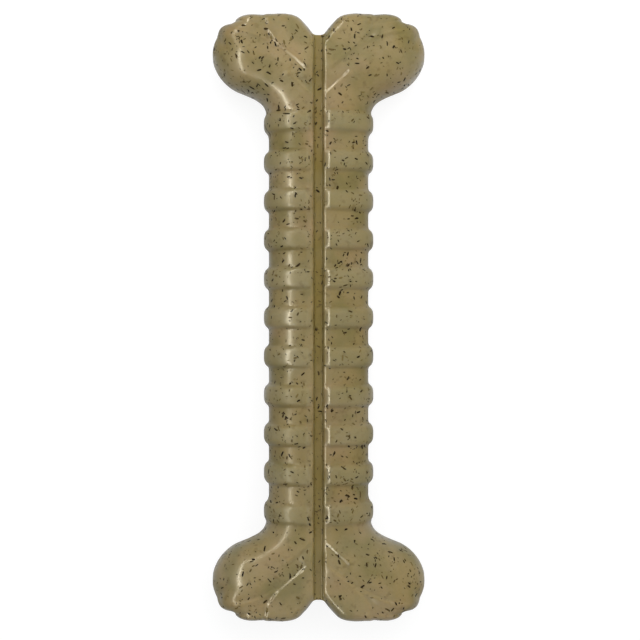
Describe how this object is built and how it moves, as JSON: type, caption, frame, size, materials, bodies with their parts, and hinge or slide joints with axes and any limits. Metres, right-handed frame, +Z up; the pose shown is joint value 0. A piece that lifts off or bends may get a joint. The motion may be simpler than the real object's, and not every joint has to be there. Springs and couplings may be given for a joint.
{
  "type": "nylon chew bone",
  "caption": "Bone-shaped moulded nylon dog chew with a ribbed, lengthwise-grooved shaft, folded double knuckles at both ends and plant-fibre flecks set in its skin.",
  "frame": {"origin": "On the floor under the centre of the bone, which lies on its back", "axes": "+Y along the bone's length, +X across its width, +Z up through its thickness, out of the face in the picture"},
  "size_m": [0.063, 0.178, 0.025],
  "materials": {
    "nylon": "glossy khaki nylon, slightly translucent, smooth from the mould",
    "dark_fibre": "near-black plant-fibre flecks, flush with the skin",
    "brown_fibre": "paler brown plant-fibre flecks, flush with the skin"
  },
  "bodies": {
    "root": {"bone_body": "nylon", "dark_flecks": "dark_fibre", "brown_flecks": "brown_fibre"}
  },
  "joints": []
}
